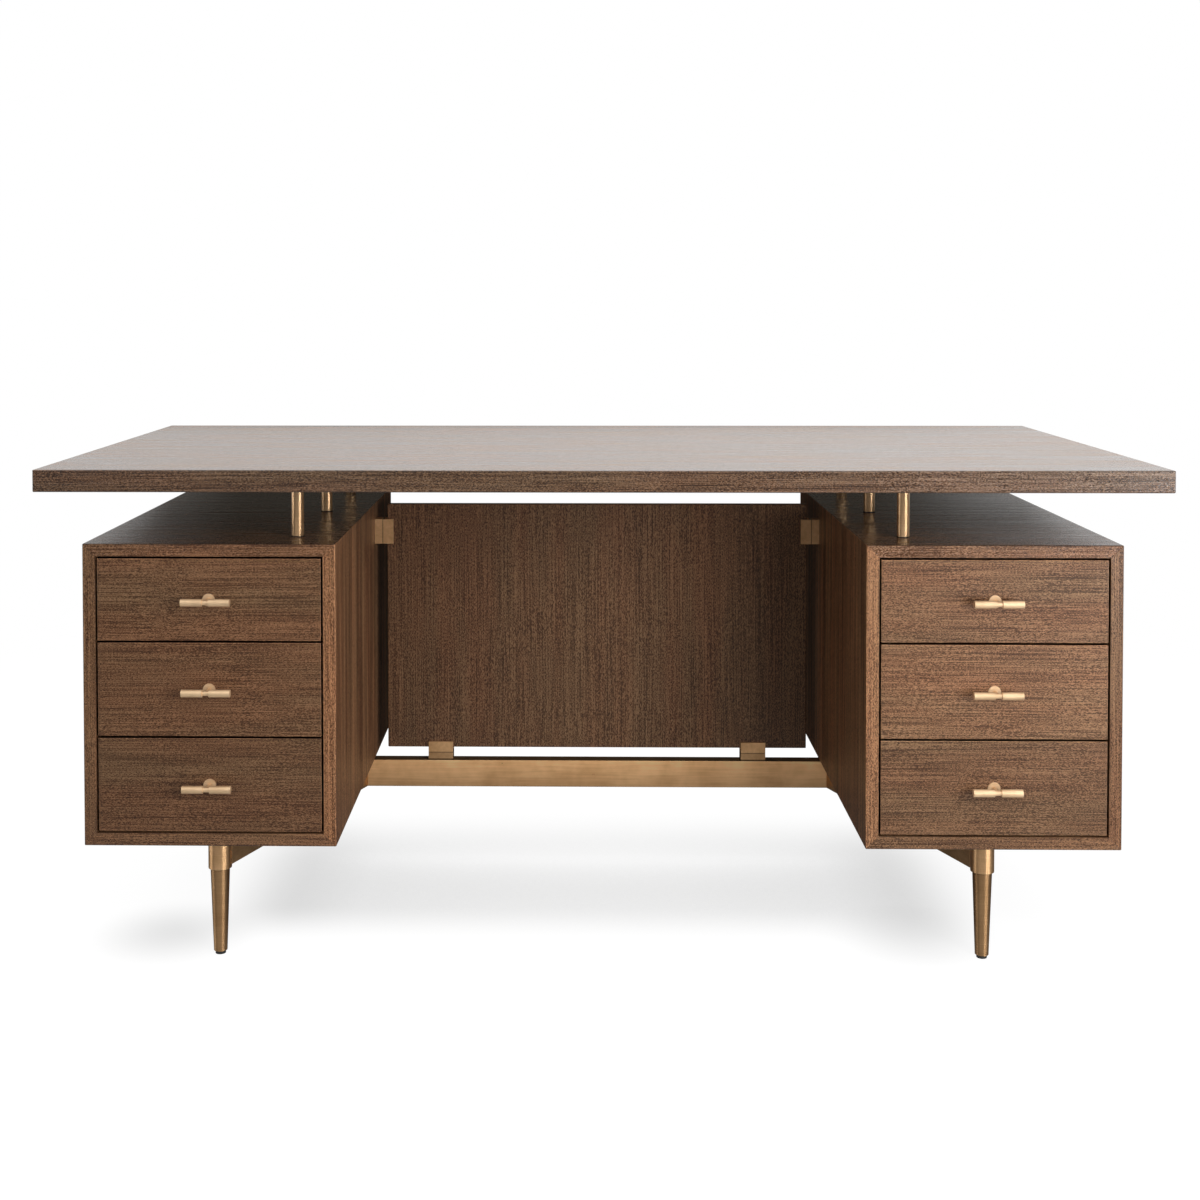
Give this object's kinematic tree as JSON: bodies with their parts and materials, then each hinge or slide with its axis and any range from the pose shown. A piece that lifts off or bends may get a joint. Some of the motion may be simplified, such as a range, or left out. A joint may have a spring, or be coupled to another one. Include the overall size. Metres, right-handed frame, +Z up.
{
  "type": "writing desk",
  "caption": "Pedestal writing desk: a slab top on slim metal posts over drawer pedestals, with a hung modesty panel and a low metal base on tapered legs.",
  "frame": {"origin": "on the floor, under the centre of the top", "axes": "+X along the front to the right as seen by the sitter, +Y from the sitter into the depth, +Z up"},
  "size_m": [1.676, 0.838, 0.762],
  "materials": {
    "walnut": "satin lacquered dark walnut veneer",
    "pale_hardwood": "clear lacquered",
    "satin_brass": "satin antique brass",
    "zinc_steel": "zinc plated",
    "black_nylon": "matte"
  },
  "bodies": {
    "desk": {"desktop": "walnut", "modesty_panel": "walnut", "upper_panel_clips": "satin_brass", "lower_panel_clips": "satin_brass", "cross_beam": "satin_brass", "collars": "satin_brass", "mounting_plates": "satin_brass", "legs": "satin_brass", "glides": "black_nylon", "left_case_top": "walnut", "left_case_bottom": "walnut", "left_case_inner_side": "walnut", "left_case_outer_side": "walnut", "left_case_back": "walnut", "left_posts": "satin_brass", "left_outer_slides": "zinc_steel", "left_front_arm": "satin_brass", "left_rear_arm": "satin_brass", "right_case_top": "walnut", "right_case_bottom": "walnut", "right_case_inner_side": "walnut", "right_case_outer_side": "walnut", "right_case_back": "walnut", "right_posts": "satin_brass", "right_outer_slides": "zinc_steel", "right_front_arm": "satin_brass", "right_rear_arm": "satin_brass"},
    "left_top_drawer": {"left_top_drawer_front": "walnut", "left_top_drawer_box": "pale_hardwood", "left_top_pull": "satin_brass", "left_top_inner_slides": "zinc_steel"},
    "left_top_runners": {"left_top_middle_slides": "zinc_steel"},
    "left_middle_drawer": {"left_middle_drawer_front": "walnut", "left_middle_drawer_box": "pale_hardwood", "left_middle_pull": "satin_brass", "left_middle_inner_slides": "zinc_steel"},
    "left_middle_runners": {"left_middle_middle_slides": "zinc_steel"},
    "left_bottom_drawer": {"left_bottom_drawer_front": "walnut", "left_bottom_drawer_box": "pale_hardwood", "left_bottom_pull": "satin_brass", "left_bottom_inner_slides": "zinc_steel"},
    "left_bottom_runners": {"left_bottom_middle_slides": "zinc_steel"},
    "right_top_drawer": {"right_top_drawer_front": "walnut", "right_top_drawer_box": "pale_hardwood", "right_top_pull": "satin_brass", "right_top_inner_slides": "zinc_steel"},
    "right_top_runners": {"right_top_middle_slides": "zinc_steel"},
    "right_middle_drawer": {"right_middle_drawer_front": "walnut", "right_middle_drawer_box": "pale_hardwood", "right_middle_pull": "satin_brass", "right_middle_inner_slides": "zinc_steel"},
    "right_middle_runners": {"right_middle_middle_slides": "zinc_steel"},
    "right_bottom_drawer": {"right_bottom_drawer_front": "walnut", "right_bottom_drawer_box": "pale_hardwood", "right_bottom_pull": "satin_brass", "right_bottom_inner_slides": "zinc_steel"},
    "right_bottom_runners": {"right_bottom_middle_slides": "zinc_steel"}
  },
  "joints": [
    {"name": "left_top_drawer_slide", "type": "slide", "parent": "desk", "child": "left_top_drawer", "axis": [0, -1, 0], "range_m": [0, 0.54]},
    {"name": "left_top_runner_slide", "type": "slide", "parent": "desk", "child": "left_top_runners", "axis": [0, -1, 0], "range_m": [0, 0.27]},
    {"name": "left_middle_drawer_slide", "type": "slide", "parent": "desk", "child": "left_middle_drawer", "axis": [0, -1, 0], "range_m": [0, 0.54]},
    {"name": "left_middle_runner_slide", "type": "slide", "parent": "desk", "child": "left_middle_runners", "axis": [0, -1, 0], "range_m": [0, 0.27]},
    {"name": "left_bottom_drawer_slide", "type": "slide", "parent": "desk", "child": "left_bottom_drawer", "axis": [0, -1, 0], "range_m": [0, 0.54]},
    {"name": "left_bottom_runner_slide", "type": "slide", "parent": "desk", "child": "left_bottom_runners", "axis": [0, -1, 0], "range_m": [0, 0.27]},
    {"name": "right_top_drawer_slide", "type": "slide", "parent": "desk", "child": "right_top_drawer", "axis": [0, -1, 0], "range_m": [0, 0.54]},
    {"name": "right_top_runner_slide", "type": "slide", "parent": "desk", "child": "right_top_runners", "axis": [0, -1, 0], "range_m": [0, 0.27]},
    {"name": "right_middle_drawer_slide", "type": "slide", "parent": "desk", "child": "right_middle_drawer", "axis": [0, -1, 0], "range_m": [0, 0.54]},
    {"name": "right_middle_runner_slide", "type": "slide", "parent": "desk", "child": "right_middle_runners", "axis": [0, -1, 0], "range_m": [0, 0.27]},
    {"name": "right_bottom_drawer_slide", "type": "slide", "parent": "desk", "child": "right_bottom_drawer", "axis": [0, -1, 0], "range_m": [0, 0.54]},
    {"name": "right_bottom_runner_slide", "type": "slide", "parent": "desk", "child": "right_bottom_runners", "axis": [0, -1, 0], "range_m": [0, 0.27]}
  ],
  "couplings": [
    {"joint": "left_top_runner_slide", "follows": "left_top_drawer_slide", "ratio": 0.5},
    {"joint": "left_middle_runner_slide", "follows": "left_middle_drawer_slide", "ratio": 0.5},
    {"joint": "left_bottom_runner_slide", "follows": "left_bottom_drawer_slide", "ratio": 0.5},
    {"joint": "right_top_runner_slide", "follows": "right_top_drawer_slide", "ratio": 0.5},
    {"joint": "right_middle_runner_slide", "follows": "right_middle_drawer_slide", "ratio": 0.5},
    {"joint": "right_bottom_runner_slide", "follows": "right_bottom_drawer_slide", "ratio": 0.5}
  ]
}
